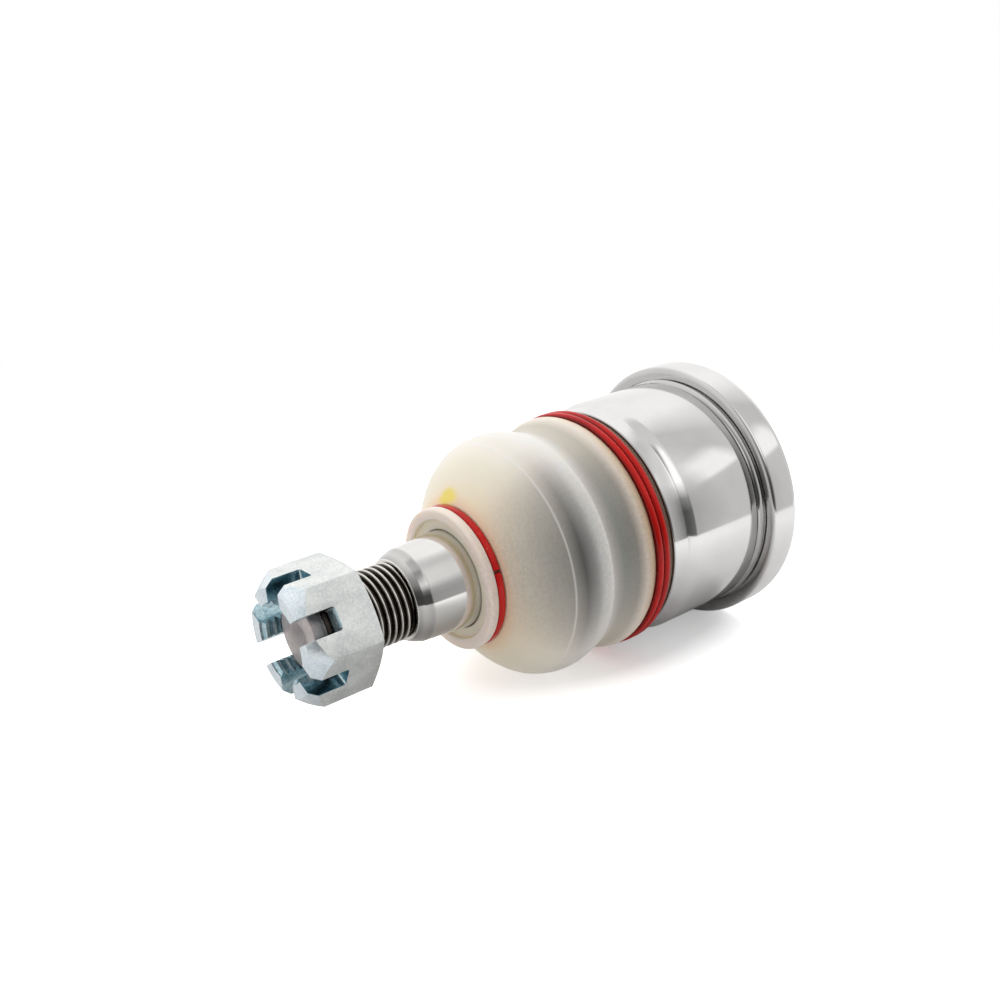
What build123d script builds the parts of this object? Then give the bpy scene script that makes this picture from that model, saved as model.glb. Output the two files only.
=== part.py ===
from build123d import *
from math import atan2, cos, degrees, radians, sin, sqrt, tan
import os

# Press-in suspension ball joint, lying with its axis along X.
# Millimetres. The origin is the centre of the ball, +X leads to the flange, -X to the stud's end.
# Stations along the axis are measured from the back face of the flange towards the stud.

# Housing
BALL_STATION = 21.0
FLANGE_DIAMETER = 59.0
FLANGE_LENGTH = 7.4
FLANGE_FRONT_CHAMFER = 0.8
FLANGE_BACK_BEVEL = 1.1
FLANGE_BACK_DROP = 0.25
RELIEF_WIDTH = 1.6
RELIEF_DEPTH = 0.8
RELIEF_STEP = 0.3
PRESS_DIAMETER = 52.6
PRESS_LENGTH = 18.5
PRESS_REAR_CHAMFER = 0.3
NOSE_DIAMETER = 50.8
NOSE_LENGTH = 6.1
NOSE_STEP_LENGTH = 2.3
BORE_DIAMETER = 41.0
BORE_END = 27.0
MOUTH_STATION = 40.6
MOUTH_RIM = 0.5
NOSE_LIP_LENGTH = 1.3

# Boot groove on the housing's nose
GROOVE_DIAMETER = 44.8
GROOVE_LENGTH = 5.6
NOSE_LIP_DIAMETER = 46.4

# End cover and its rolled-in rim
COVER_DIAMETER = 44.0
COVER_THICKNESS = 2.6
COVER_DISH_DIAMETER = 22.0
COVER_DISH_DEPTH = 0.6
RIM_THICKNESS = 1.2
RIM_OVERLAP = 1.4

# Ball and bearings
BALL_DIAMETER = 32.0
BALL_FLAT = 2.6
NECK_DIAMETER = 16.0
NECK_FILLET = 1.5
SWING_ANGLE = 25.0
SEAT_LIP = 8.0
BALL_CLEARANCE = 0.04
SEAT_CLEARANCE = 0.05
SEAT_SPLIT = 1.0
THROAT_STATION = 30.7
MOUTH_CLEARANCE = 0.5

# Preload disc spring between the end cover and the pressure cup
SPRING_OUTER = 38.0
SPRING_INNER = 23.0
SPRING_THICKNESS = 1.8
SPRING_HEIGHT = 3.2

# Stud, from the ball outwards
NECK_END = 46.0
TAPER_START = 62.0
TAPER_END = 83.0
TAPER_END_DIAMETER = 19.3
TAPER_RATIO = 8.0
THREAD_START = 86.0
SHOULDER_SWELL = 0.15
SHOULDER_STEP = 0.3
THREAD_DIAMETER = 16.0
THREAD_END = 104.4
THREAD_CHAMFER = 0.9
TIP_GROOVE_WIDTH = 0.7
TIP_GROOVE_DIAMETER = 12.8
STUD_END = 107.3
TIP_DIAMETER = 13.5
TIP_CHAMFER = 0.4
CENTRE_HOLE_DIAMETER = 5.0
CENTRE_HOLE_DEPTH = 1.6
COTTER_HOLE_DIAMETER = 4.0
COTTER_HOLE_SETBACK = 7.8

# How far a cut runs past the piece
CUT_OVERRUN = 2.0

# Castle nut
NUT_ACROSS_FLATS = 24.0
NUT_GRIP = 7.8
NUT_HEIGHT = 14.6
NUT_CLEARANCE = 0.06
CROWN_CHAMFER = 3.5
CROWN_RADIUS_DROP = 3.0
REAR_CHAMFER_ANGLE = 16.0
SLOT_COUNT = 6
SLOT_WIDTH = 4.6
SLOT_DEPTH = 7.4
SLOT_CORNER = 0.6

# Dust boot. A place is a share of the way from the large ring to the collar.
BOOT_WALL = 1.7
BOOT_BEAD_WALL = 1.75
BOOT_REAR_LIP = 1.4
BOOT_LIP_HEIGHT = 0.8
BOOT_CLEARANCE = 0.08
FOLD_RISE = 1.1
FOLD_PLACE = 0.045
FOLD_DIAMETER = 51.9
FLANK_PLACE = 0.15
FLANK_DIAMETER = 49.8
VALLEY_PLACE = 0.245
VALLEY_DIAMETER = 48.4
RIDGE_PLACE = 0.38
RIDGE_DIAMETER = 50.4
BULGE_PLACE = 0.54
BULGE_DIAMETER = 52.1
BROW_PLACE = 0.74
BROW_DIAMETER = 48.3
DOME_PLACE = 0.89
DOME_DIAMETER = 38.9
DOME_END_DIAMETER = 30.0
COLLAR_STATION = 69.5
COLLAR_DIAMETER = 30.0
COLLAR_GROOVE_DEPTH = 1.6
COLLAR_LIP_LENGTH = 1.9
COLLAR_RECESS_DIAMETER = 25.2
COLLAR_RECESS_DEPTH = 0.9
COLLAR_EDGE = 0.35
COLLAR_THROAT = 5.0

# Clamp rings
RING_WIRE = 1.95
RING_NIP = 0.15
RING_TURNS = 2
RING_CLEARANCE = 0.08
SMALL_RING_WIDTH = 1.7
SMALL_RING_THICKNESS = 1.5
SMALL_RING_EDGE = 0.35
SMALL_RING_SPLIT = 0.5
SMALL_RING_SPLIT_ANGLE = 161.0


def at(station, radius):
    """A point of an outline: the station along the axis and the distance from it."""
    return (BALL_STATION - station, radius)


def turned(line, name):
    """A solid turned about the axis from a closed outline."""
    solid = revolve(make_face(line), Axis.X, 360)
    solid.label = name
    return solid


def closed(points):
    """A closed outline of straight lines through the points."""
    return Polyline(*points, close=True)


def cone_radius(station):
    """Radius of the housing's mouth: the neck at full swing, and its clearance."""
    reach = station - BALL_STATION
    angle = radians(SWING_ANGLE)
    return reach * tan(angle) + NECK_DIAMETER / 2 / cos(angle) + MOUTH_CLEARANCE


def taper_radius(station):
    """Radius of the stud's taper at a station."""
    return TAPER_END_DIAMETER / 2 + (TAPER_END - station) / TAPER_RATIO / 2


def groove_start():
    """Station at which the boot groove begins on the housing's nose."""
    return FLANGE_LENGTH + RELIEF_WIDTH + PRESS_LENGTH + NOSE_LENGTH


def make_housing():
    """Forged and turned housing: flange, relief, press-fit land, nose and ball socket."""
    flange_r = FLANGE_DIAMETER / 2
    press_r = PRESS_DIAMETER / 2
    land_start = FLANGE_LENGTH + RELIEF_WIDTH
    land_end = land_start + PRESS_LENGTH
    groove = groove_start()
    groove_end = groove + GROOVE_LENGTH
    nose_r = NOSE_DIAMETER / 2
    nose_start = land_end + NOSE_STEP_LENGTH
    lip_r = NOSE_LIP_DIAMETER / 2
    cover_r = COVER_DIAMETER / 2 + SEAT_CLEARANCE
    cover_seat = RIM_THICKNESS + COVER_THICKNESS
    rim_r = cover_r - RIM_OVERLAP
    bore_r = BORE_DIAMETER / 2
    # the land rounds off in a step down to the nose
    step = ThreePointArc(
        at(land_end, press_r),
        at(land_end + 0.55 * NOSE_STEP_LENGTH, press_r - 0.45 * (press_r - nose_r)),
        at(nose_start, nose_r),
    )
    back = Polyline(
        at(0, rim_r),
        at(0, flange_r - FLANGE_BACK_DROP),
        at(FLANGE_BACK_BEVEL, flange_r),
        at(FLANGE_LENGTH - FLANGE_FRONT_CHAMFER, flange_r),
        at(FLANGE_LENGTH, flange_r - FLANGE_FRONT_CHAMFER),
        at(FLANGE_LENGTH, press_r + RELIEF_STEP),
        at(FLANGE_LENGTH - RELIEF_STEP, press_r + RELIEF_STEP),
        at(FLANGE_LENGTH - RELIEF_STEP, press_r - RELIEF_DEPTH),
        at(land_start, press_r - RELIEF_DEPTH),
        at(land_start, press_r - PRESS_REAR_CHAMFER),
        at(land_start + PRESS_REAR_CHAMFER, press_r),
        at(land_end, press_r),
    )
    front = Polyline(
        at(nose_start, nose_r),
        at(groove, nose_r),
        at(groove, GROOVE_DIAMETER / 2),
        at(groove_end, GROOVE_DIAMETER / 2),
        at(groove_end, lip_r - MOUTH_RIM),
        at(groove_end + MOUTH_RIM, lip_r),
        at(MOUTH_STATION - MOUTH_RIM, lip_r),
        at(MOUTH_STATION, lip_r - MOUTH_RIM),
        at(MOUTH_STATION, cone_radius(MOUTH_STATION)),
        at(THROAT_STATION, cone_radius(THROAT_STATION)),
        at(BORE_END, bore_r),
        at(cover_seat, bore_r),
        at(cover_seat, cover_r),
        at(RIM_THICKNESS, cover_r),
        at(RIM_THICKNESS, rim_r),
        at(0, rim_r),
    )
    return turned([back, step, front], "housing")


def make_end_cover():
    """Stamped closing plate, trapped by the rim rolled over its edge."""
    outer = COVER_DIAMETER / 2
    start = RIM_THICKNESS
    end = start + COVER_THICKNESS
    dish = COVER_DISH_DIAMETER / 2
    outline = closed([
        at(start, outer),
        at(start, dish + COVER_DISH_DEPTH),
        at(start + COVER_DISH_DEPTH, dish),
        at(start + COVER_DISH_DEPTH, 0),
        at(end, 0),
        at(end, outer),
    ])
    return turned(outline, "end_cover")


def make_preload_spring():
    """Disc spring: a coned washer standing on the cover and pressing the cup."""
    low = RIM_THICKNESS + COVER_THICKNESS
    rise = SPRING_HEIGHT - SPRING_THICKNESS
    outline = closed([
        at(low, SPRING_OUTER / 2),
        at(low + rise, SPRING_INNER / 2),
        at(low + SPRING_HEIGHT, SPRING_INNER / 2),
        at(low + SPRING_THICKNESS, SPRING_OUTER / 2),
    ])
    return turned(outline, "preload_spring")


def ball_arc(start, end, radius):
    """Arc about the ball's centre between two distances along the axis."""
    middle = radians((degrees(atan2(sqrt(radius**2 - start**2), start))
                      + degrees(atan2(sqrt(radius**2 - end**2), end))) / 2)
    return ThreePointArc(
        (-start, sqrt(radius**2 - start**2)),
        (-radius * cos(middle), radius * sin(middle)),
        (-end, sqrt(radius**2 - end**2)),
    )


def make_pressure_cup():
    """Bearing half behind the ball, pushed on to it by the spring."""
    socket = BALL_DIAMETER / 2 + BALL_CLEARANCE
    outer = BORE_DIAMETER / 2 - SEAT_CLEARANCE
    back = RIM_THICKNESS + COVER_THICKNESS + SPRING_HEIGHT
    low = back - BALL_STATION
    high = -SEAT_SPLIT / 2
    arc = ball_arc(low, high, socket)
    sides = Polyline(arc @ 1, (-high, outer), at(back, outer), arc @ 0)
    return turned([arc, sides], "pressure_cup")


def make_bearing_seat():
    """Bearing half in front of the ball, held by the housing's coned shoulder."""
    socket = BALL_DIAMETER / 2 + BALL_CLEARANCE
    outer = BORE_DIAMETER / 2 - SEAT_CLEARANCE
    low = SEAT_SPLIT / 2
    arc = ball_arc(low, SEAT_LIP, socket)
    lip = BALL_STATION + SEAT_LIP
    throat_r = cone_radius(THROAT_STATION)
    slope = (BORE_DIAMETER / 2 - throat_r) / (THROAT_STATION - BORE_END)
    gap = SEAT_CLEARANCE * sqrt(1 + slope**2)
    turn = BORE_END - (outer - BORE_DIAMETER / 2 + gap) / slope
    lip_r = BORE_DIAMETER / 2 - gap - slope * (lip - BORE_END)
    sides = Polyline(arc @ 1, at(lip, lip_r), at(turn, outer), (-low, outer), arc @ 0)
    return turned([arc, sides], "bearing_seat")


def make_ball_stud():
    """Ball, neck, tapered shank, threaded end and cotter hole in one forging."""
    ball_r = BALL_DIAMETER / 2
    neck_r = NECK_DIAMETER / 2
    flat = BALL_FLAT - ball_r
    # the neck runs into the ball through a fillet tangent to both
    fillet_r = neck_r + NECK_FILLET
    fillet_x = sqrt((ball_r + NECK_FILLET)**2 - fillet_r**2)
    touch = ball_r / (ball_r + NECK_FILLET)
    ball_end = fillet_x * touch
    middle = (atan2(-fillet_r, fillet_x) - radians(90)) / 2
    ball = ball_arc(flat, ball_end, ball_r)
    fillet = ThreePointArc(
        ball @ 1,
        (-fillet_x + NECK_FILLET * cos(middle), fillet_r + NECK_FILLET * sin(middle)),
        (-fillet_x, neck_r),
    )
    thread_r = THREAD_DIAMETER / 2
    # the taper ends at a crisp edge, and a swelling cone leads from there to the thread
    high_r = taper_radius(TAPER_END)
    low_r = thread_r + SHOULDER_STEP
    shoulder = ThreePointArc(
        at(TAPER_END, high_r),
        at((TAPER_END + THREAD_START) / 2, (high_r + low_r) / 2 + SHOULDER_SWELL),
        at(THREAD_START, low_r),
    )
    swell = Spline(
        at(NECK_END, neck_r),
        at(TAPER_START, taper_radius(TAPER_START)),
        tangents=[(-1, 0), (-1, -1 / TAPER_RATIO / 2)],
    )
    neck = Line(fillet @ 1, swell @ 0)
    taper = Line(swell @ 1, shoulder @ 0)
    tip = Polyline(
        shoulder @ 1,
        at(THREAD_START, thread_r),
        at(THREAD_END - THREAD_CHAMFER, thread_r),
        at(THREAD_END, thread_r - THREAD_CHAMFER),
        at(THREAD_END, TIP_GROOVE_DIAMETER / 2),
        at(THREAD_END + TIP_GROOVE_WIDTH, TIP_GROOVE_DIAMETER / 2),
        at(THREAD_END + TIP_GROOVE_WIDTH, TIP_DIAMETER / 2),
        at(STUD_END - TIP_CHAMFER, TIP_DIAMETER / 2),
        at(STUD_END, TIP_DIAMETER / 2 - TIP_CHAMFER),
        at(STUD_END, CENTRE_HOLE_DIAMETER / 2),
        at(STUD_END - CENTRE_HOLE_DEPTH, 0),
        (-flat, 0),
        ball @ 0,
    )
    solid = revolve(make_face([ball, fillet, neck, swell, taper, shoulder, tip]), Axis.X, 360)
    x = BALL_STATION - (STUD_END - COTTER_HOLE_SETBACK)
    hole = Pos(x, 0, 0) * Cylinder(COTTER_HOLE_DIAMETER / 2, THREAD_DIAMETER + CUT_OVERRUN)
    solid = solid - Rot(360 / SLOT_COUNT, 0, 0) * hole
    solid.label = "ball_stud"
    return solid


def nut_station():
    """Station of the nut's rear face, which grips the last of the stud's thread."""
    return THREAD_END - NUT_GRIP


def make_castle_nut():
    """Hexagon nut with a coned crown cut by slots for the cotter pin."""
    flat_r = NUT_ACROSS_FLATS / 2
    corner_r = flat_r / cos(radians(30))
    rear = nut_station()
    front = rear + NUT_HEIGHT
    bore_r = THREAD_DIAMETER / 2 + NUT_CLEARANCE
    x_rear = BALL_STATION - rear
    hexagon = RegularPolygon(flat_r, 6, major_radius=False)
    blank = extrude(Plane(origin=(x_rear, 0, 0), x_dir=(0, 1, 0), z_dir=(-1, 0, 0)) * hexagon, NUT_HEIGHT)
    # the crown's cone, the shallow cone on the rear face and the bore, turned in one outline
    rear_drop = (corner_r - flat_r) * tan(radians(REAR_CHAMFER_ANGLE))
    reach = corner_r + CUT_OVERRUN
    outline = closed([
        at(rear, bore_r),
        at(rear, flat_r),
        at(rear + rear_drop, corner_r),
        at(rear + rear_drop, reach),
        at(front - CROWN_CHAMFER, reach),
        at(front - CROWN_CHAMFER, corner_r),
        at(front, corner_r - CROWN_RADIUS_DROP),
        at(front, bore_r),
    ])
    nut = blank & revolve(make_face(outline), Axis.X, 360)
    slot_end = front - SLOT_DEPTH
    length = SLOT_DEPTH + CUT_OVERRUN
    height = corner_r + CUT_OVERRUN
    slot = Pos(BALL_STATION - slot_end - length / 2, 0, height / 2) * Box(length, SLOT_WIDTH, height)
    bottom = slot.faces().sort_by(Axis.X)[-1]
    slot = fillet(bottom.edges().filter_by(Axis.Z), SLOT_CORNER)
    for index in range(SLOT_COUNT):
        nut = nut - Rot(360 / SLOT_COUNT * index, 0, 0) * slot
    nut.label = "castle_nut"
    return nut


def ring_pitch():
    """Distance between the large ring's turns, pressed a little into each other."""
    return RING_WIRE - RING_NIP


def ring_width():
    """Width of the large ring's turns side by side."""
    return RING_WIRE + ring_pitch() * (RING_TURNS - 1)


def bead_radius():
    """Radius of the boot's bead, on which the large ring lies."""
    return GROOVE_DIAMETER / 2 + BOOT_CLEARANCE + BOOT_BEAD_WALL


def boot_start():
    """Station of the boot's rear edge."""
    return groove_start() + BOOT_CLEARANCE


def boot_wall_station():
    """Station at which the boot leaves the large ring."""
    return boot_start() + BOOT_REAR_LIP + ring_width() + 2 * RING_CLEARANCE


def skin_point(place, diameter):
    """A point of the boot's outer skin, at a share of the way from the large ring to the collar."""
    wall = boot_wall_station()
    return at(wall + place * (COLLAR_STATION - wall), diameter / 2)


def make_dust_boot():
    """Moulded boot: bead in the nose groove, small fold, large bulge and collar on the stud."""
    start = boot_start()
    bead_r = bead_radius()
    inner_r = GROOVE_DIAMETER / 2 + BOOT_CLEARANCE
    groove_end = groove_start() + GROOVE_LENGTH
    wall = boot_wall_station()
    collar_r = COLLAR_DIAMETER / 2
    collar_groove_r = collar_r - COLLAR_GROOVE_DEPTH
    skin = Spline(
        at(wall, bead_r + FOLD_RISE),
        skin_point(FOLD_PLACE, FOLD_DIAMETER),
        skin_point(FLANK_PLACE, FLANK_DIAMETER),
        skin_point(VALLEY_PLACE, VALLEY_DIAMETER),
        skin_point(RIDGE_PLACE, RIDGE_DIAMETER),
        skin_point(BULGE_PLACE, BULGE_DIAMETER),
        skin_point(BROW_PLACE, BROW_DIAMETER),
        skin_point(DOME_PLACE, DOME_DIAMETER),
        skin_point(1.0, DOME_END_DIAMETER),
    )
    rear = Polyline(
        at(start, inner_r),
        at(start, bead_r + BOOT_LIP_HEIGHT),
        at(start + BOOT_REAR_LIP, bead_r + BOOT_LIP_HEIGHT),
        at(start + BOOT_REAR_LIP, bead_r),
        at(wall, bead_r),
        skin @ 0,
    )
    # from behind the small fold, the inner skin follows the outer one at the wall's thickness
    steps = [0.12 + 0.88 * index / 24 for index in range(25)]
    inner = Spline(*[skin @ step + Vector(-(skin % step).Y, (skin % step).X) * BOOT_WALL for step in steps])
    ring_end = COLLAR_STATION + 2 * RING_CLEARANCE + SMALL_RING_WIDTH
    front = ring_end + COLLAR_LIP_LENGTH
    recess = front - COLLAR_RECESS_DEPTH
    throat_end = recess - COLLAR_THROAT
    collar = Polyline(
        skin @ 1,
        at(COLLAR_STATION, collar_groove_r),
        at(ring_end, collar_groove_r),
        at(ring_end, collar_r),
        at(front - COLLAR_EDGE, collar_r),
        at(front, collar_r - COLLAR_EDGE),
        at(front, COLLAR_RECESS_DIAMETER / 2),
        at(recess, COLLAR_RECESS_DIAMETER / 2),
        at(recess, taper_radius(recess) + BOOT_CLEARANCE),
        at(throat_end, taper_radius(throat_end) + BOOT_CLEARANCE),
        inner @ 1,
    )
    mouth = Polyline(
        inner @ 0,
        at(groove_end - BOOT_CLEARANCE, NOSE_LIP_DIAMETER / 2 + BOOT_CLEARANCE),
        at(groove_end - BOOT_CLEARANCE, inner_r),
        at(start, inner_r),
    )
    return turned([rear, skin, collar, inner, mouth], "dust_boot")


def make_large_ring():
    """Red clamp ring of round wire, its turns side by side round the boot's bead."""
    radius = bead_radius() + RING_CLEARANCE + RING_WIRE / 2
    first = boot_start() + BOOT_REAR_LIP + RING_CLEARANCE + RING_WIRE / 2
    turns = [
        Plane(origin=(BALL_STATION - first - ring_pitch() * index, 0, 0), z_dir=(1, 0, 0))
        * Torus(radius, RING_WIRE / 2)
        for index in range(RING_TURNS)
    ]
    ring = turns[0]
    for turn in turns[1:]:
        ring = ring + turn
    ring.label = "boot_large_ring"
    return ring


def make_small_ring():
    """Red split ring that holds the boot's collar on the stud's taper."""
    inner = COLLAR_DIAMETER / 2 - COLLAR_GROOVE_DEPTH + RING_CLEARANCE
    outer = inner + SMALL_RING_THICKNESS
    low = COLLAR_STATION + RING_CLEARANCE
    high = low + SMALL_RING_WIDTH
    edge = SMALL_RING_EDGE
    outline = closed([
        at(low, inner),
        at(low, outer - edge),
        at(low + edge, outer),
        at(high - edge, outer),
        at(high, outer - edge),
        at(high, inner),
    ])
    ring = revolve(make_face(outline), Axis.X, 360)
    x = BALL_STATION - (low + high) / 2
    gap = Pos(x, outer, 0) * Box(2 * SMALL_RING_WIDTH, outer, SMALL_RING_SPLIT)
    ring = ring - Rot(SMALL_RING_SPLIT_ANGLE, 0, 0) * gap
    ring.label = "boot_small_ring"
    return ring


PARTS = [
    make_housing,
    make_end_cover,
    make_preload_spring,
    make_pressure_cup,
    make_bearing_seat,
    make_ball_stud,
    make_castle_nut,
    make_dust_boot,
    make_large_ring,
    make_small_ring,
]

os.makedirs("parts", exist_ok=True)
for make in PARTS:
    part = make()
    export_step(part, f"parts/{part.label}.step")
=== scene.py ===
from math import acos, asin, atan2, ceil, cos, hypot, pi, radians, sin, tan

import bmesh
import bpy
from mathutils import Matrix, Vector


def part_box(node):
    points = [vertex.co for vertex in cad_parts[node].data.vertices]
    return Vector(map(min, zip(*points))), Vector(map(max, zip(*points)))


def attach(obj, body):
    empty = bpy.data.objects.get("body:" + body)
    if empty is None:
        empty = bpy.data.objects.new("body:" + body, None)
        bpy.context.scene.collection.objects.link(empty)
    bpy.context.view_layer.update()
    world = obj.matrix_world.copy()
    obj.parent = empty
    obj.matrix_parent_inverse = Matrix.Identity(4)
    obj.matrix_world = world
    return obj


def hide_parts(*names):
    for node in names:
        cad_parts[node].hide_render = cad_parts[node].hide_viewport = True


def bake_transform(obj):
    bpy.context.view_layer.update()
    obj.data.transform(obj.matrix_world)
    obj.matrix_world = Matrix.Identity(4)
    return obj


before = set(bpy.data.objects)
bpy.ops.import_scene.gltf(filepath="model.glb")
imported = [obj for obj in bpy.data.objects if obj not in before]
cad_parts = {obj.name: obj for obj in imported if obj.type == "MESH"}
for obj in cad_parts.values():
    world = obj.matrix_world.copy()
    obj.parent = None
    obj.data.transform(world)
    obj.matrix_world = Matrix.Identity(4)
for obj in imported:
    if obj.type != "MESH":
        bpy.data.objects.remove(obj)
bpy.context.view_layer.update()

# A press-in suspension ball joint lying on a white floor.
# Outlines are written in millimetres: the station along the axis from the flange's back face
# towards the stud's end, and the radius. The meshes are in metres, in the part's own frame.

MM = 0.001
BALL_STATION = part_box("housing")[1].x / MM
TURN = 2 * pi
SEGMENTS = 240

# Camera, in the part's frame
CAMERA_PLACE = Vector((-174.622, -187.264, 95.295)) * MM
CAMERA_RIGHT = Vector((0.782829, -0.615652, -0.090279))
CAMERA_UP = Vector((0.274531, 0.211527, 0.938024))
LENS = 43.11
SENSOR = 36.0

# The part lies on its flange and its boot, rolled a little about its axis
ROLL = 3.93

# Light, and what the floor gives off by itself: to the camera, under the part, and to the part's underside
AMBIENT = 0.78
KEY_POWER = 4.6
KEY_SIZE = 0.9
KEY_DISTANCE = 0.9
FLOOR_WHITE = 0.93
FLOOR_LIFT = 0.7
SHADOW_LIFT = 0.36
BOUNCE = 0.3

# The floor's shadow: an ellipse, its middle towards the stud from the ball, and its half length and width
SHADOW_MIDDLE = 8 * MM
SHADOW_LENGTH = 46 * MM
SHADOW_WIDTH = 22 * MM

# Housing
FLANGE_LENGTH = 7.4
FLANGE_TOUCH = FLANGE_LENGTH - 1.1
FLANGE_EDGE_LENGTH = 1.1
FLANGE_EDGE_DROP = 0.25
RELIEF_WIDTH = 1.6
RELIEF_DEPTH = 0.8
RELIEF_STEP = 0.3
PRESS_RADIUS = 26.3
PRESS_LENGTH = 18.5
NOSE_RADIUS = 25.4
NOSE_LENGTH = 6.1
NOSE_STEP_LENGTH = 2.3
GROOVE_RADIUS = 22.4
GROOVE_LENGTH = 5.6
NOSE_LIP_RADIUS = 23.2
GROOVE_START = FLANGE_LENGTH + RELIEF_WIDTH + PRESS_LENGTH + NOSE_LENGTH
MOUTH_RADIUS = 18.47
MOUTH_FLARE_START = 30.7
MOUTH_NECK_RADIUS = 13.85
BEARING_END = 27.0
BEARING_RADIUS = 20.5

# End cover under the housing's rolled rim
COVER_RADIUS = 22.0
COVER_START = 1.2
COVER_END = 3.8
COVER_FIT = 0.05
COVER_DISH_RADIUS = 10.6
COVER_DISH_DEPTH = 0.6
RIM_OVERLAP = 1.4

# Dust boot and its rings
CLEARANCE = 0.08
BOOT_WALL = 1.7
BEAD_WALL = 1.75
BOOT_START = GROOVE_START + CLEARANCE
BOOT_REAR_LIP = 1.4
BOOT_LIP_RISE = 0.8
BEAD_RADIUS = GROOVE_RADIUS + CLEARANCE + BEAD_WALL
RING_WIRE = 1.95
RING_PITCH = 1.8
RING_TURNS = 2
RING_START = BOOT_START + BOOT_REAR_LIP + CLEARANCE
RING_CREST = BEAD_RADIUS + CLEARANCE + RING_WIRE
BOOT_WALL_START = RING_START + RING_WIRE + RING_PITCH + CLEARANCE
BOOT_WALL_RISE = 1.1
BULGE_STATION = 55.5
BULGE_RADIUS = 26.05
SEAM_STATION = 60.2
SEAM_RISE = 0.09
SEAM_WIDTH = 0.28
# The angle about the axis of the boot's side with painted shade
SHADED_SIDE_ANGLE = 166.0
REST_PLACE = "rest_place"
COLLAR_STATION = 69.5
COLLAR_RADIUS = 15.0
COLLAR_GROOVE_RADIUS = 13.4
COLLAR_GROOVE_END = 71.36
COLLAR_END = 73.26
RECESS_RADIUS = 12.6
RECESS_DEPTH = 0.9
THROAT_LENGTH = 5.0
THROAT_GAP = 0.1
SMALL_RING_WIDTH = 1.7
SMALL_RING_THICKNESS = 1.5
SMALL_RING_CREST = COLLAR_GROOVE_RADIUS + CLEARANCE + SMALL_RING_THICKNESS
SMALL_RING_SPLIT = 161.0
SMALL_RING_GAP = 1.1

# Stud
BALL_RADIUS = 16.0
BALL_FLAT = 13.4
BALL_ROOT_RADIUS = 8.69
NECK_START = 35.8
NECK_RADIUS = 8.0
SWELL_START = 46.0
TAPER_START = 62.0
TAPER_END = 83.0
TAPER_END_RADIUS = 9.65
TAPER_SLOPE = 1 / 16
SHOULDER_STATION = 84.5
SHOULDER_RADIUS = 9.12
RELIEF_RADIUS = 8.35
THREAD_START = 86.0
THREAD_END = 104.4
THREAD_PITCH = 1.5
THREAD_CREST = 7.96
THREAD_ROOT = 7.08
RUN_OUT_RADIUS = THREAD_ROOT - 0.2
TIP_GROOVE_RADIUS = 6.4
TIP_GROOVE_WIDTH = 0.7
TIP_RADIUS = 6.75
CENTRE_HOLE_RADIUS = 2.9
CENTRE_HOLE_DEPTH = 1.4
STUD_END = 107.3

# Castle nut
NUT_START = 96.6
NUT_END = 111.2
NUT_FLAT_RADIUS = 12.0
NUT_CORNER_RADIUS = NUT_FLAT_RADIUS / cos(radians(30))
NUT_BORE = 8.06
NUT_THREAD_CREST = 7.2
NUT_SIDES = 6
NUT_SEGMENTS = 96
NUT_CROWN_LENGTH = 3.5
NUT_CROWN_DROP = 3.0
NUT_REAR_ANGLE = 16
NUT_EDGE = 0.28
SLOT_WIDTH = 4.6
SLOT_DEPTH = 7.4
SLOT_CORNER = 0.6

# How far the nut's blank runs past it, and how far a cut runs past what it cuts
BLANK_OVERRUN = 1.0
CUT_OVERRUN = 2.0


def place(station, radius, angle):
    """A point in the part's frame, in metres."""
    return Vector((BALL_STATION - station, radius * cos(angle), radius * sin(angle))) * MM


def rounded(corners, steps=5):
    """An outline through corners (station, radius, fillet), with an arc at each fillet."""
    points = []
    for index, (station, radius, size) in enumerate(corners):
        corner = Vector((station, radius))
        if size == 0 or index in (0, len(corners) - 1):
            points.append(corner)
            continue
        before = Vector(corners[index - 1][:2]) - corner
        after = Vector(corners[index + 1][:2]) - corner
        half = before.angle(after) / 2
        back = min(size / tan(half), 0.49 * before.length, 0.49 * after.length)
        size = back * tan(half)
        before.normalize()
        after.normalize()
        centre = corner + (before + after).normalized() * size / sin(half)
        first = corner + before * back - centre
        last = corner + after * back - centre
        sweep = first.angle_signed(last)
        for step in range(steps + 1):
            turned = first.copy()
            turned.rotate(Matrix.Rotation(-sweep * step / steps, 2))
            points.append(centre + turned)
    return points


def smooth_curve(knots, step):
    """Points every step mm or so on a natural cubic spline through the knots."""
    lengths = [0.0]
    for a, b in zip(knots, knots[1:]):
        lengths.append(lengths[-1] + hypot(b[0] - a[0], b[1] - a[1]))
    count = len(knots)
    bends = []
    for axis in range(2):
        upper = [0.0] * count
        value = [0.0] * count
        for i in range(1, count - 1):
            left = lengths[i] - lengths[i - 1]
            right = lengths[i + 1] - lengths[i]
            pull = 6 * ((knots[i + 1][axis] - knots[i][axis]) / right
                        - (knots[i][axis] - knots[i - 1][axis]) / left)
            pivot = 2 * (left + right) - left * upper[i - 1]
            upper[i] = right / pivot
            value[i] = (pull - left * value[i - 1]) / pivot
        bend = [0.0] * count
        for i in range(count - 2, 0, -1):
            bend[i] = value[i] - upper[i] * bend[i + 1]
        bends.append(bend)
    points = []
    for i in range(count - 1):
        span = lengths[i + 1] - lengths[i]
        pieces = max(1, ceil(span / step))
        for piece in range(pieces):
            t = span * piece / pieces
            point = []
            for axis in range(2):
                a, b = knots[i][axis], knots[i + 1][axis]
                m, n = bends[axis][i], bends[axis][i + 1]
                slope = (b - a) / span - span * (2 * m + n) / 6
                point.append(a + slope * t + m * t * t / 2 + (n - m) * t**3 / (6 * span))
            points.append(Vector(point))
    points.append(Vector(knots[-1][:2]))
    return points


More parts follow.
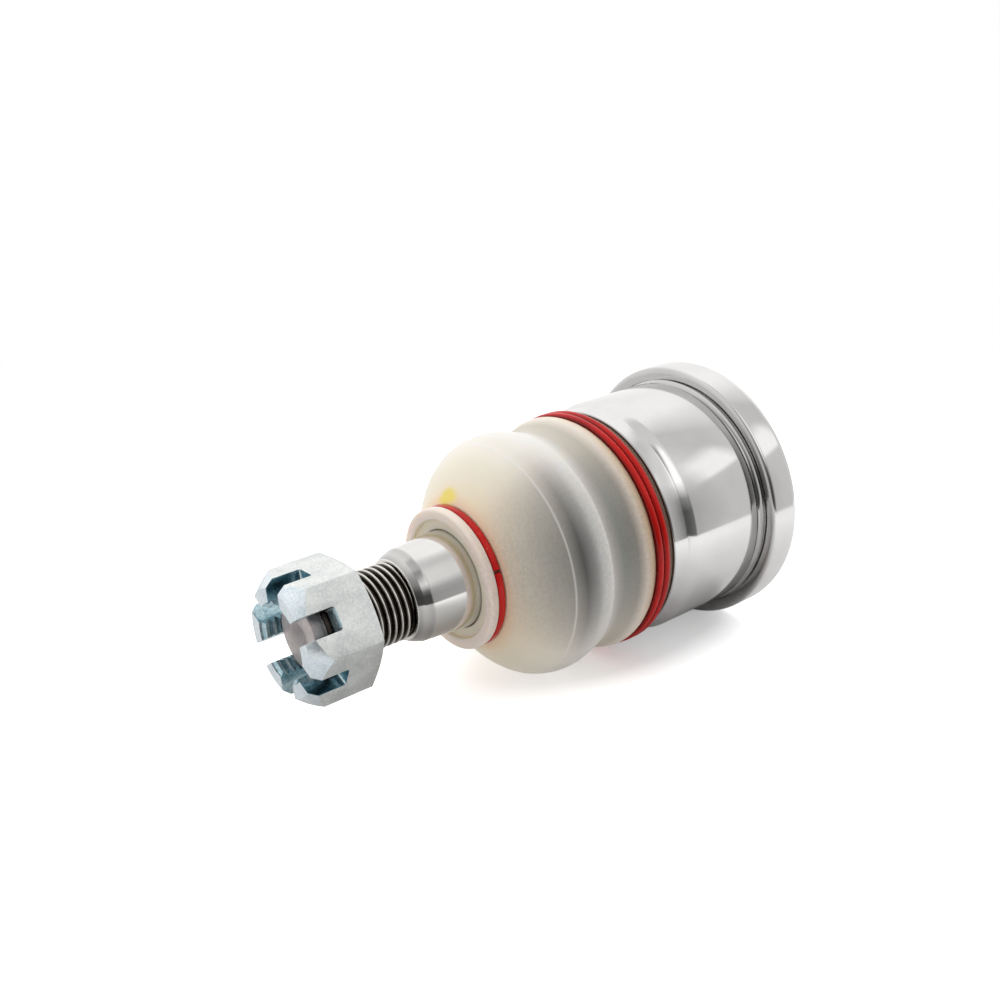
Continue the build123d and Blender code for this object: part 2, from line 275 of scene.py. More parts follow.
def arc_through(first, middle, last, steps=10):
    """Points on the circle through three points, without the first one."""
    a, b, c = Vector(first), Vector(middle), Vector(last)
    double = 2 * (a.x * (b.y - c.y) + b.x * (c.y - a.y) + c.x * (a.y - b.y))
    p, q, r = a.length_squared, b.length_squared, c.length_squared
    x = (p * (b.y - c.y) + q * (c.y - a.y) + r * (a.y - b.y)) / double
    y = (p * (c.x - b.x) + q * (a.x - c.x) + r * (b.x - a.x)) / double
    centre = Vector((x, y))
    sweep = (a - centre).angle_signed(c - centre)
    points = []
    for step in range(1, steps + 1):
        arm = a - centre
        arm.rotate(Matrix.Rotation(-sweep * step / steps, 2))
        points.append(centre + arm)
    return points


def offset_curve(points, distance):
    """The points moved sideways by a distance, to the right of their own direction."""
    moved = []
    for index, point in enumerate(points):
        ahead = points[min(index + 1, len(points) - 1)] - points[max(index - 1, 0)]
        ahead.normalize()
        moved.append(point + Vector((ahead.y, -ahead.x)) * distance)
    return moved


def finish_mesh(name, mesh_data, sharp=32):
    """A smooth-shaded object from a bmesh, with crisp edges where the faces turn sharply."""
    bmesh.ops.remove_doubles(mesh_data, verts=mesh_data.verts, dist=2e-7)
    bmesh.ops.dissolve_degenerate(mesh_data, edges=mesh_data.edges, dist=1e-8)
    bmesh.ops.recalc_face_normals(mesh_data, faces=mesh_data.faces)
    mesh = bpy.data.meshes.new(name)
    mesh_data.to_mesh(mesh)
    mesh_data.free()
    mesh.shade_smooth()
    mesh.set_sharp_from_angle(angle=radians(sharp))
    piece = bpy.data.objects.new(name, mesh)
    bpy.context.scene.collection.objects.link(piece)
    return piece


def add_grid(mesh_data, rows, closed, segments=SEGMENTS):
    """Faces between rows, each a function of the angle that gives a station and a radius."""
    grid = []
    for row in rows:
        ring = []
        for column in range(segments):
            angle = TURN * column / segments
            station, radius = row(angle)
            ring.append(mesh_data.verts.new(place(station, radius, angle)))
        grid.append(ring)
    count = len(grid) if closed else len(grid) - 1
    for k in range(count):
        low = grid[k]
        high = grid[(k + 1) % len(grid)]
        for column in range(segments):
            beside = (column + 1) % segments
            mesh_data.faces.new((low[column], high[column], high[beside], low[beside]))


def turned_rows(outline):
    """The rows of a turned surface for add_grid, one for each point of its outline."""
    return [lambda angle, p=point: (p[0], max(p[1], 0.0)) for point in outline]


def lathe(name, outline):
    """A closed piece turned about the axis from a closed outline."""
    mesh_data = bmesh.new()
    add_grid(mesh_data, turned_rows(outline), True)
    return finish_mesh(name, mesh_data)


def add_thread(mesh_data, first, last, crest, root, limit, segments=SEGMENTS):
    """Faces of a right-hand helical thread between two stations."""
    phases = [(0.0, 0), (0.125, 0), (0.25, 0), (0.35, 0.33), (0.46, 0.68), (0.5625, 1),
              (0.6875, 1), (0.79, 0.67), (0.9, 0.32)]
    turns = ceil((last - first) / THREAD_PITCH) + 1
    per_turn = len(phases)
    grid = []
    for k in range(turns * per_turn + 1):
        phase, height = phases[k % per_turn]
        ring = []
        for column in range(segments):
            angle = TURN * column / segments
            free = first + THREAD_PITCH * (k // per_turn + phase - angle / TURN)
            # rows past an end lie on that end's ring
            station = min(max(free, first), last)
            radius = limit(station, root + (crest - root) * height)
            ring.append(mesh_data.verts.new(place(station, radius, angle)))
        grid.append(ring)
    for k in range(len(grid) - 1):
        for column in range(segments - 1):
            mesh_data.faces.new((grid[k][column], grid[k + 1][column],
                                 grid[k + 1][column + 1], grid[k][column + 1]))
        low = grid[max(k - per_turn, 0)][0]
        high = grid[max(k + 1 - per_turn, 0)][0]
        corner = (grid[k][-1], grid[k + 1][-1], high, low)
        if low is high:
            corner = corner[:3]
        mesh_data.faces.new(corner)


def taper_radius(station):
    """Radius of the stud's taper."""
    return TAPER_END_RADIUS + (TAPER_END - station) * TAPER_SLOPE


# Materials


def new_material(name):
    """An empty node material with its Principled shader."""
    material = bpy.data.materials.new(name)
    material.use_nodes = True
    return material, material.node_tree, material.node_tree.nodes["Principled BSDF"]


def add_node(tree, kind, inputs=None, **settings):
    """A node with its settings, its inputs set to values or linked from sockets."""
    node = tree.nodes.new(kind)
    for key, value in settings.items():
        setattr(node, key, value)
    for key, value in (inputs or {}).items():
        if isinstance(value, bpy.types.NodeSocket):
            tree.links.new(value, node.inputs[key])
        else:
            node.inputs[key].default_value = value
    return node


def math(tree, operation, a, b=0.0, clamp=False):
    """A Math node's result."""
    node = add_node(tree, "ShaderNodeMath", {0: a, 1: b}, operation=operation, use_clamp=clamp)
    return node.outputs[0]


def length(tree, a, b):
    """The length of the vector (a, b)."""
    squares = math(tree, "ADD", math(tree, "MULTIPLY", a, a), math(tree, "MULTIPLY", b, b))
    return math(tree, "SQRT", squares)


def band(tree, value, centre, width):
    """One where the value is the centre, falling to nought at a width to each side."""
    away = math(tree, "ABSOLUTE", math(tree, "SUBTRACT", value, centre))
    return math(tree, "SUBTRACT", 1.0, math(tree, "DIVIDE", away, width), True)


def ramp(tree, factor, stops):
    """A Color Ramp's colour, with stops (position, grey or colour)."""
    node = add_node(tree, "ShaderNodeValToRGB", {0: factor})
    elements = node.color_ramp.elements
    while len(elements) < len(stops):
        elements.new(0.5)
    for element, (position, colour) in zip(elements, stops):
        element.position = position
        if not hasattr(colour, "__len__"):
            colour = (colour, colour, colour)
        element.color = (*colour, 1.0)
    return node.outputs[0]


def mix(tree, factor, a, b, blend="MIX"):
    """A colour mix of a and b."""
    node = add_node(tree, "ShaderNodeMix", data_type="RGBA", blend_type=blend)
    for socket, value in ((node.inputs[0], factor), (node.inputs[6], a), (node.inputs[7], b)):
        if isinstance(value, bpy.types.NodeSocket):
            tree.links.new(value, socket)
        else:
            socket.default_value = value if socket.type == "VALUE" else (*value[:3], 1.0)
    return node.outputs[2]


def own_place(tree):
    """The shaded point's place in the part's frame at rest."""
    return add_node(tree, "ShaderNodeTexCoord").outputs["Object"]


def unbent_place(tree):
    """The same, read from the place that was kept in the piece's mesh."""
    return add_node(tree, "ShaderNodeAttribute", attribute_name=REST_PLACE).outputs["Vector"]


def station_of(tree, where):
    """A place's station."""
    x = add_node(tree, "ShaderNodeSeparateXYZ", {0: where}).outputs["X"]
    return math(tree, "SUBTRACT", BALL_STATION, math(tree, "DIVIDE", x, MM))


def radius_of(tree, where):
    """A place's distance from the axis, in mm."""
    split = add_node(tree, "ShaderNodeSeparateXYZ", {0: where})
    return math(tree, "DIVIDE", length(tree, split.outputs["Y"], split.outputs["Z"]), MM)


def angle_of(tree, where):
    """A place's angle about the axis, from Y towards Z."""
    split = add_node(tree, "ShaderNodeSeparateXYZ", {0: where})
    return math(tree, "ARCTAN2", split.outputs["Z"], split.outputs["Y"])


def noise(tree, vector, scale, detail=3.0, roughness=0.5):
    """A noise texture's value."""
    node = add_node(tree, "ShaderNodeTexNoise", {"Vector": vector, "Scale": scale, "Detail": detail,
                                                 "Roughness": roughness})
    return node.outputs[0]


def bump(tree, height, strength, distance):
    """A bump's normal."""
    node = add_node(tree, "ShaderNodeBump", {"Height": height, "Strength": strength, "Distance": distance})
    return node.outputs[0]


def turned_steel(name, colour, roughness, marks, mark_size, painted_shades):
    """Steel turned on a lathe: fine rings of marks, faint smears, and painted shade, given as stops
    (station, factor) that darken it.
    """
    material, tree, shader = new_material(name)
    where = own_place(tree)
    station = station_of(tree, where)
    rings = add_node(tree, "ShaderNodeCombineXYZ", {0: station, 1: radius_of(tree, where)}).outputs[0]
    fine = noise(tree, rings, 1 / mark_size, 2.0)
    smear = noise(tree, where, 90.0, 4.0, 0.6)
    base = mix(tree, ramp(tree, smear, [(0.35, 0.0), (0.75, 1.0)]), colour, [c * 0.9 for c in colour])
    # painted shade: the colour is darkened by station where shade falls, in recesses and under other pieces
    share = math(tree, "DIVIDE", station, STUD_END)
    shade = ramp(tree, share, [(place_on / STUD_END, factor) for place_on, factor in painted_shades])
    tree.links.new(mix(tree, 1.0, base, shade, "MULTIPLY"), shader.inputs["Base Color"])
    shader.inputs["Metallic"].default_value = 1.0
    low, high = roughness
    tree.links.new(ramp(tree, smear, [(0.3, low), (0.8, high)]), shader.inputs["Roughness"])
    tree.links.new(bump(tree, fine, marks, 0.02 * MM), shader.inputs["Normal"])
    return material


def thread_steel(name):
    """The thread: nearly black roots of painted shade, lighter up its flanks to bright crests."""
    material, tree, shader = new_material(name)
    where = own_place(tree)
    grain = noise(tree, where, 900.0, 3.0)
    height = math(tree, "ADD", radius_of(tree, where), math(tree, "MULTIPLY", grain, 0.14))
    # painted shade: the colour darkens towards the thread's roots, with a little random variation
    out_of_root_shade = ramp(tree, math(tree, "SUBTRACT", height, THREAD_ROOT), [(0.64, 0.0), (0.88, 1.0)])
    tree.links.new(mix(tree, out_of_root_shade, (0.060, 0.048, 0.040), (0.88, 0.86, 0.83)), shader.inputs["Base Color"])
    shader.inputs["Metallic"].default_value = 1.0
    tree.links.new(ramp(tree, grain, [(0.3, 0.24), (0.8, 0.42)]), shader.inputs["Roughness"])
    return material


def tip_steel(name):
    """The stud's end: sawn and turned, with a stained pinkish grey face."""
    material, tree, shader = new_material(name)
    where = own_place(tree)
    radius = radius_of(tree, where)
    rings = add_node(tree, "ShaderNodeCombineXYZ", {0: radius}).outputs[0]
    fine = noise(tree, rings, 5.0, 2.0)
    stain = noise(tree, where, 500.0, 5.0, 0.7)
    rim = ramp(tree, math(tree, "DIVIDE", radius, 10.0), [(0.16, 0.0), (0.42, 0.7), (0.66, 1.0)])
    face = mix(tree, rim, (0.34, 0.315, 0.31), (0.66, 0.59, 0.58))
    tree.links.new(mix(tree, ramp(tree, stain, [(0.4, 0.0), (0.72, 0.45)]), face, (0.20, 0.18, 0.175)),
                   shader.inputs["Base Color"])
    shader.inputs["Metallic"].default_value = 0.45
    shader.inputs["Roughness"].default_value = 0.42
    both = math(tree, "ADD", fine, math(tree, "MULTIPLY", stain, 0.7))
    tree.links.new(bump(tree, both, 0.5, 0.08 * MM), shader.inputs["Normal"])
    return material


def zinc_plate(name, colour, shade, metallic, roughness, marks):
    """Clear zinc plate: a fine mottled grain over a satin or bright metal."""
    material, tree, shader = new_material(name)
    where = own_place(tree)
    grain = noise(tree, where, 1900.0, 4.0, 0.7)
    cloud = noise(tree, where, 240.0, 3.0, 0.6)
    both = math(tree, "ADD", math(tree, "MULTIPLY", grain, 0.6), math(tree, "MULTIPLY", cloud, 0.4))
    mottle = ramp(tree, both, [(0.38, 1.0), (0.62, 0.0)])
    tree.links.new(mix(tree, mottle, colour, shade), shader.inputs["Base Color"])
    shader.inputs["Metallic"].default_value = metallic
    low, high = roughness
    tree.links.new(ramp(tree, cloud, [(0.3, low), (0.75, high)]), shader.inputs["Roughness"])
    tree.links.new(bump(tree, grain, marks, 0.05 * MM), shader.inputs["Normal"])
    return material


def red_coat(name, crest):
    """Glossy red coat with small scuffs, and painted shade that darkens it below its crest's radius."""
    material, tree, shader = new_material(name)
    where = own_place(tree)
    scuff = noise(tree, where, 700.0, 4.0, 0.6)
    mottle = noise(tree, where, 120.0, 2.0)
    patches = ramp(tree, mottle, [(0.35, 0.0), (0.7, 1.0)])
    red = mix(tree, patches, (0.60, 0.008, 0.004), (0.42, 0.004, 0.002))
    red = mix(tree, ramp(tree, scuff, [(0.66, 0.0), (0.78, 1.0)]), red, (0.68, 0.14, 0.10))
    # painted shade: darker below the crest, in the valley between the wire's turns and at the strip's inner
    # edge
    below = math(tree, "SUBTRACT", crest, radius_of(tree, where))
    shade_below_crest = ramp(tree, below, [(0.06, 1.0), (0.62, 0.30)])
    tree.links.new(mix(tree, 1.0, red, shade_below_crest, "MULTIPLY"), shader.inputs["Base Color"])
    tree.links.new(ramp(tree, scuff, [(0.3, 0.16), (0.8, 0.30)]), shader.inputs["Roughness"])
    shader.inputs["Specular IOR Level"].default_value = 0.2
    shader.inputs["Coat Weight"].default_value = 0.14
    shader.inputs["Coat Roughness"].default_value = 0.05
    tree.links.new(bump(tree, scuff, 0.15, 0.04 * MM), shader.inputs["Normal"])
    return material


def boot_rubber(name):
    """Milky translucent boot: cream dome, and folds greyed by painted shade, most on one side."""
    material, tree, shader = new_material(name)
    where = unbent_place(tree)
    station = station_of(tree, where)
    angle = angle_of(tree, where)
    cloud = noise(tree, where, 55.0, 4.0, 0.6)
    fuzz = noise(tree, where, 1500.0, 4.0, 0.7)
    drift = math(tree, "MULTIPLY", math(tree, "SUBTRACT", cloud, 0.5), 0.012)
    share = math(tree, "ADD", math(tree, "DIVIDE", math(tree, "SUBTRACT", station, 33.0), 42.0), drift)
    # tones by station for the side out of the painted shade, with painted shadow on the lip in the gap
    # behind the ring and painted shade in the valley behind the bulge
    open_side_tones = ramp(tree, share, [
        (0.10, (0.20, 0.12, 0.08)), (0.14, (0.66, 0.46, 0.32)), (0.18, (0.86, 0.70, 0.56)),
        (0.205, (0.88, 0.80, 0.72)), (0.25, (0.62, 0.58, 0.50)), (0.33, (0.64, 0.60, 0.52)),
        (0.38, (0.80, 0.76, 0.70)),
        (0.42, (0.94, 0.90, 0.84)), (0.48, (0.92, 0.88, 0.83)), (0.60, (0.88, 0.83, 0.76)),
        (0.68, (0.92, 0.85, 0.75)), (0.78, (0.94, 0.83, 0.69)), (0.83, (0.95, 0.80, 0.62)),
        (0.862, (0.96, 0.68, 0.48)), (0.90, (0.95, 0.76, 0.64)), (0.955, (0.95, 0.79, 0.71)),
    ])
    # painted shade: tones by station for the side in shade, greyer and darkest in the folds
    shaded_side_tones = ramp(tree, share, [
        (0.10, (0.20, 0.12, 0.08)), (0.14, (0.50, 0.30, 0.18)), (0.18, (0.72, 0.55, 0.38)),
        (0.205, (0.80, 0.70, 0.60)), (0.245, (0.37, 0.35, 0.31)), (0.32, (0.33, 0.34, 0.31)),
        (0.37, (0.48, 0.45, 0.42)),
        (0.405, (0.62, 0.59, 0.56)), (0.42, (0.98, 0.94, 0.90)), (0.44, (0.84, 0.82, 0.78)),
        (0.485, (0.68, 0.68, 0.66)), (0.53, (0.34, 0.34, 0.33)), (0.59, (0.13, 0.125, 0.12)),
        (0.64, (0.36, 0.345, 0.31)), (0.72, (0.48, 0.46, 0.41)), (0.80, (0.66, 0.61, 0.52)),
        (0.845, (0.76, 0.66, 0.54)), (0.865, (0.86, 0.60, 0.42)), (0.90, (0.93, 0.76, 0.64)),
        (0.955, (0.94, 0.78, 0.70)),
    ])
    # painted shade takes over on the side turned to this angle, the side away from the lamp
    turn = math(tree, "COSINE", math(tree, "SUBTRACT", angle, radians(SHADED_SIDE_ANGLE)))
    facing = math(tree, "ADD", math(tree, "MULTIPLY", turn, 0.5), math(tree, "ADD", 0.5, drift))
    near = ramp(tree, facing, [
        (0.75, 0.0), (0.821, 0.12), (0.883, 0.42), (0.933, 0.68), (0.97, 0.84), (1.00, 1.0),
    ])
    body = mix(tree, near, open_side_tones, shaded_side_tones)
    # dark speckle, only over the side with painted shade
    grain = math(tree, "MULTIPLY", ramp(tree, fuzz, [(0.40, 0.16), (0.60, 0.0)]), near)
    body = mix(tree, grain, body, (0.16, 0.16, 0.16))
    # painted light: the collar's recess is coloured a light peach, for the light that comes through the
    # rubber
    recess = math(tree, "LESS_THAN", radius_of(tree, where), RECESS_RADIUS + 0.1)
    body = mix(tree, recess, body, (1.0, 0.83, 0.66))
    ragged_station = math(tree, "ADD", station, math(tree, "MULTIPLY", drift, 160.0))
    ragged_angle = math(tree, "ADD", angle, math(tree, "MULTIPLY", drift, 20.0))
    along = band(tree, ragged_station, 68.9, 1.7)
    around = band(tree, ragged_angle, radians(80.0), radians(15.0))
    smear = ramp(tree, math(tree, "MULTIPLY", along, around), [(0.1, 0.0), (0.5, 0.9)])
    body = mix(tree, smear, body, (0.94, 0.74, 0.14))
    # painted highlight: a lighter line along the seam
    seam = band(tree, station, SEAM_STATION, 0.3)
    body = mix(tree, math(tree, "MULTIPLY", seam, 0.6), body, (0.90, 0.90, 0.85))
    tree.links.new(body, shader.inputs["Base Color"])
    tree.links.new(ramp(tree, fuzz, [(0.3, 0.36), (0.8, 0.5)]), shader.inputs["Roughness"])
    shader.inputs["Transmission Weight"].default_value = 0.08
    shader.inputs["IOR"].default_value = 1.41
    shader.inputs["Subsurface Weight"].default_value = 0.8
    shader.inputs["Subsurface Radius"].default_value = (1.0, 0.8, 0.6)
    shader.inputs["Subsurface Scale"].default_value = 2.0 * MM
    tree.links.new(bump(tree, fuzz, 0.1, 0.05 * MM), shader.inputs["Normal"])
    return material


def plain_part(name, colour, metallic, roughness, grain_scale):
    """Hidden pieces: moulded or pressed, with a fine grain."""
    material, tree, shader = new_material(name)
    grain = noise(tree, own_place(tree), grain_scale, 3.0)
    tree.links.new(mix(tree, ramp(tree, grain, [(0.35, 0.0), (0.7, 1.0)]), colour,
                       [c * 0.82 for c in colour]), shader.inputs["Base Color"])
    shader.inputs["Metallic"].default_value = metallic
    shader.inputs["Roughness"].default_value = roughness
    tree.links.new(bump(tree, grain, 0.2, 0.03 * MM), shader.inputs["Normal"])
    return material


# Pieces


def dress(piece, node, body, materials):
    """Stands a piece in for its CAD node, on its body, with its materials."""
    for material in materials:
        piece.data.materials.append(material)
    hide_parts(node)
    if body:
        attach(piece, body)
    return piece


def make_housing():
    """Housing: flange, relief, press-fit land, stepped nose, boot groove and open mouth."""
    flange_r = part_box("housing")[1].z / MM
    mouth = BALL_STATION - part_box("housing")[0].x / MM
    land_start = FLANGE_LENGTH + RELIEF_WIDTH
    land_end = land_start + PRESS_LENGTH
    nose_start = land_end + NOSE_STEP_LENGTH
    groove_end = GROOVE_START + GROOVE_LENGTH
    relief_r = PRESS_RADIUS - RELIEF_DEPTH
    step_r = PRESS_RADIUS + RELIEF_STEP
    step_station = FLANGE_LENGTH - RELIEF_STEP
    cover_r = COVER_RADIUS + COVER_FIT
    rim_r = cover_r - RIM_OVERLAP
    outline = rounded([
        (COVER_START, rim_r, 0.0), (0.0, rim_r, 0.35), (0.0, flange_r - FLANGE_EDGE_DROP, 0.3),
        (FLANGE_EDGE_LENGTH, flange_r, 0.5), (FLANGE_LENGTH, flange_r, 1.0), (FLANGE_LENGTH, step_r, 0.1),
        (step_station, step_r, 0.0),
    ])
    foot = Vector((step_station, step_r - 0.1))
    floor = Vector((land_start - 0.7, relief_r))
    outline += [foot] + arc_through(foot, (step_station + 0.35, relief_r + 0.32), floor)
    outline += rounded([
        (floor.x, floor.y, 0.0), (land_start, relief_r, 0.3), (land_start, PRESS_RADIUS, 0.3),
        (land_end, PRESS_RADIUS, 0.0),
    ])[1:]
    middle = (land_end + 0.55 * NOSE_STEP_LENGTH, PRESS_RADIUS - 0.45 * (PRESS_RADIUS - NOSE_RADIUS))
    outline += arc_through((land_end, PRESS_RADIUS), middle, (nose_start, NOSE_RADIUS))
    outline += rounded([
        (nose_start, NOSE_RADIUS, 0.0), (GROOVE_START, NOSE_RADIUS, 0.25),
        (GROOVE_START, GROOVE_RADIUS, 0.2), (groove_end, GROOVE_RADIUS, 0.2),
        (groove_end, NOSE_LIP_RADIUS, 0.4), (mouth, NOSE_LIP_RADIUS, 0.5),
        (mouth, MOUTH_RADIUS, 0.3), (MOUTH_FLARE_START, MOUTH_NECK_RADIUS, 0.2),
        (BEARING_END, BEARING_RADIUS, 0.2), (COVER_END, BEARING_RADIUS, 0.0), (COVER_END, cover_r, 0.0),
        (COVER_START, cover_r, 0.0),
    ])[1:]
    return lathe("housing_shell", outline)


def make_end_cover():
    """Closing plate with a shallow dish and a rounded edge under the rolled rim."""
    dish = COVER_START + COVER_DISH_DEPTH
    outline = rounded([
        (COVER_END, 0.0, 0.0), (dish, 0.0, 0.0), (dish, COVER_DISH_RADIUS, 0.8),
        (COVER_START, COVER_DISH_RADIUS + 1.3, 0.8), (COVER_START, COVER_RADIUS, 0.25),
        (COVER_END, COVER_RADIUS, 0.25), (COVER_END, 0.0, 0.0),
    ])
    return lathe("end_cover_plate", outline[:-1])


def boot_skin():
    """The boot's outer skin from the large ring to the collar, with its fine raised seam."""
    reach = COLLAR_STATION - BOOT_WALL_START
    knots = [(BOOT_WALL_START, BEAD_RADIUS + BOOT_WALL_RISE)]
    knots += [(BOOT_WALL_START + share * reach, radius) for share, radius in (
        (0.045, 25.95), (0.15, 24.9), (0.245, 24.2), (0.38, 25.2), (0.54, BULGE_RADIUS), (0.74, 24.15),
        (0.89, 19.45), (1.0, COLLAR_RADIUS),
    )]
    skin = smooth_curve(knots, 0.3)
    for index in range(1, len(skin) - 1):
        rise = SEAM_RISE * max(0.0, 1 - abs(skin[index].x - SEAM_STATION) / SEAM_WIDTH)
        along = (skin[index + 1] - skin[index - 1]).normalized()
        skin[index] = skin[index] + Vector((-along.y, along.x)) * rise
    return skin


def boot_outline():
    """The boot's section: bead, small fold, ridge, bulge, dome and collar, and its inner skin."""
    start = BOOT_START
    seat = start + BOOT_REAR_LIP
    groove_end = GROOVE_START + GROOVE_LENGTH
    lip_r = BEAD_RADIUS + BOOT_LIP_RISE
    inner_r = GROOVE_RADIUS + CLEARANCE
    recess = COLLAR_END - RECESS_DEPTH
    throat = recess - THROAT_LENGTH
    skin = boot_skin()
    # the inner skin leaves out the outer one's first points, and runs straight to the housing's lip
    left_out = 14
    inner = offset_curve(skin[left_out:-1], BOOT_WALL)
    inner.reverse()
    rear = rounded([
        (start, inner_r, 0.0), (start, lip_r, 0.3), (seat, lip_r, 0.3), (seat, BEAD_RADIUS, 0.1),
        (BOOT_WALL_START, BEAD_RADIUS, 0.1), (BOOT_WALL_START, BEAD_RADIUS + BOOT_WALL_RISE, 0.0),
    ])
    collar = rounded([
        (COLLAR_STATION, COLLAR_RADIUS, 0.0), (COLLAR_STATION, COLLAR_GROOVE_RADIUS, 0.15),
        (COLLAR_GROOVE_END, COLLAR_GROOVE_RADIUS, 0.15), (COLLAR_GROOVE_END, COLLAR_RADIUS, 0.3),
        (COLLAR_END, COLLAR_RADIUS, 0.6), (COLLAR_END, RECESS_RADIUS, 0.4), (recess, RECESS_RADIUS, 0.3),
        (recess, taper_radius(recess) + THROAT_GAP, 0.3), (throat, taper_radius(throat) + THROAT_GAP, 0.3),
        (inner[0].x, inner[0].y, 0.0),
    ])
    mouth = rounded([
        (inner[-1].x, inner[-1].y, 0.0), (groove_end - CLEARANCE, NOSE_LIP_RADIUS + CLEARANCE, 0.1),
        (groove_end - CLEARANCE, inner_r, 0.1), (start, inner_r, 0.0),
    ])
    return rear[:-1] + skin + collar[1:-1] + inner + mouth[1:-1]


def make_boot():
    """Moulded boot, with each point's own place kept for its colours."""
    boot = lathe("dust_boot_skin", boot_outline())
    rest = boot.data.attributes.new(REST_PLACE, "FLOAT_VECTOR", "POINT")
    for item, vertex in zip(rest.data, boot.data.vertices):
        item.vector = vertex.co
    return boot


def make_large_ring():
    """Clamp ring of red coated wire, two turns side by side."""
    wire = RING_WIRE / 2
    half_width = wire * 0.97
    centre = RING_CREST - wire
    steps = 24
    mesh_data = bmesh.new()
    for turn in range(RING_TURNS):
        station = RING_START + wire + RING_PITCH * turn
        rows = []
        for step in range(steps):
            around = TURN * step / steps
            point = (station + half_width * cos(around), centre + wire * sin(around))
            rows.append(lambda angle, p=point: p)
        add_grid(mesh_data, rows, True)
    return finish_mesh("large_ring_wire", mesh_data, 80)


def make_small_ring():
    """Split ring of red coated strip in the collar's groove."""
    low = COLLAR_STATION + CLEARANCE
    high = low + SMALL_RING_WIDTH
    inner = COLLAR_GROOVE_RADIUS + CLEARANCE
    outer = SMALL_RING_CREST
    split = radians(SMALL_RING_SPLIT)
    gap = radians(SMALL_RING_GAP)
    outline = rounded([
        ((low + high) / 2, inner, 0.0), (low, inner, 0.2), (low, outer, 0.5), (high, outer, 0.5),
        (high, inner, 0.2), ((low + high) / 2, inner, 0.0),
    ])[:-1]
    mesh_data = bmesh.new()
    rings = []
    columns = 160
    for column in range(columns + 1):
        angle = split + gap + (TURN - 2 * gap) * column / columns
        rings.append([mesh_data.verts.new(place(p[0], p[1], angle)) for p in outline])
    for a, b in zip(rings, rings[1:]):
        for index in range(len(outline)):
            beside = (index + 1) % len(outline)
            mesh_data.faces.new((a[index], a[beside], b[beside], b[index]))
    mesh_data.faces.new(rings[0])
    mesh_data.faces.new(rings[-1])
    return finish_mesh("small_ring_strip", mesh_data)


def thread_limit(station, radius):
    """The stud's thread under its run-out and its end chamfer."""
    run_out = RUN_OUT_RADIUS + (station - THREAD_START) * 2.5
    chamfer = RUN_OUT_RADIUS + (THREAD_END - station)
    return min(radius, run_out, chamfer)


def make_stud_mesh():
    """The stud as one closed mesh: turned rows, then the helical thread, then turned rows."""
    outline = [Vector((BALL_STATION - BALL_FLAT, 0.0))]
    steps = 48
    start = acos(BALL_FLAT / BALL_RADIUS)
    end = asin(BALL_ROOT_RADIUS / BALL_RADIUS)
    for step in range(steps + 1):
        around = start + (pi - end - start) * step / steps
        outline.append(Vector((BALL_STATION - BALL_RADIUS * cos(around), BALL_RADIUS * sin(around))))
    swell = []
    swell_steps = 12
    for step in range(swell_steps + 1):
        share = step / swell_steps
        rise = share * share * (3 - 2 * share)
        swell.append(Vector((SWELL_START + (TAPER_START - SWELL_START) * share,
                             NECK_RADIUS + (taper_radius(TAPER_START) - NECK_RADIUS) * rise)))
    outline += [Vector((NECK_START - 0.7, NECK_RADIUS + 0.2)), Vector((NECK_START, NECK_RADIUS))] + swell
    outline += rounded([
        (TAPER_START, taper_radius(TAPER_START), 0.0), (TAPER_END, TAPER_END_RADIUS, 0.15),
        (SHOULDER_STATION, SHOULDER_RADIUS, 1.0), (THREAD_START - 0.05, RELIEF_RADIUS, 0.25),
        (THREAD_START, RUN_OUT_RADIUS, 0.0),
    ])[1:]
    groove_end = THREAD_END + TIP_GROOVE_WIDTH
    tip = rounded([
        (THREAD_END, RUN_OUT_RADIUS, 0.0), (THREAD_END, TIP_GROOVE_RADIUS, 0.1),
        (groove_end, TIP_GROOVE_RADIUS, 0.1), (groove_end, TIP_RADIUS, 0.15), (STUD_END, TIP_RADIUS, 0.45),
        (STUD_END, CENTRE_HOLE_RADIUS, 0.3), (STUD_END - 0.5, CENTRE_HOLE_RADIUS - 0.7, 0.3),
        (STUD_END - CENTRE_HOLE_DEPTH + 0.1, 0.7, 0.3), (STUD_END - CENTRE_HOLE_DEPTH, 0.0, 0.0),
    ])
    mesh_data = bmesh.new()
    add_grid(mesh_data, turned_rows(outline), False)
    add_thread(mesh_data, THREAD_START, THREAD_END, THREAD_CREST, THREAD_ROOT, thread_limit)
    add_grid(mesh_data, turned_rows(tip), False)
    stud = finish_mesh("ball_stud_forging", mesh_data)
    for face in stud.data.polygons:
        station = BALL_STATION - face.center.x / MM
        if station >= THREAD_END + 0.05:
            face.material_index = 2
        elif station >= THREAD_START - 0.3:
            face.material_index = 1
    return stud


def apply_modifiers(piece):
    """Puts the piece's modifiers into its mesh."""
    depsgraph = bpy.context.evaluated_depsgraph_get()
    mesh = bpy.data.meshes.new_from_object(piece.evaluated_get(depsgraph))
    piece.modifiers.clear()
    piece.data = mesh


def cut(piece, tool, operation):
    """The piece cut by, or kept inside, a tool, which is then removed."""
    modifier = piece.modifiers.new("cut", "BOOLEAN")
    modifier.object = tool
    modifier.operation = operation
    modifier.solver = "EXACT"
    bpy.context.view_layer.update()
    apply_modifiers(piece)
    bpy.data.objects.remove(tool)
    return piece


def hexagon_blank():
    """The nut's hexagon, its corners along Y."""
    mesh_data = bmesh.new()
    rings = []
    for station in (NUT_START - BLANK_OVERRUN, NUT_END + BLANK_OVERRUN):
        rings.append([mesh_data.verts.new(place(station, NUT_CORNER_RADIUS, TURN * side / NUT_SIDES))
                      for side in range(NUT_SIDES)])
    for side in range(NUT_SIDES):
        beside = (side + 1) % NUT_SIDES
        mesh_data.faces.new((rings[0][side], rings[1][side], rings[1][beside], rings[0][beside]))
    mesh_data.faces.new(rings[0])
    mesh_data.faces.new(rings[1])
    return finish_mesh("castle_nut_body", mesh_data)


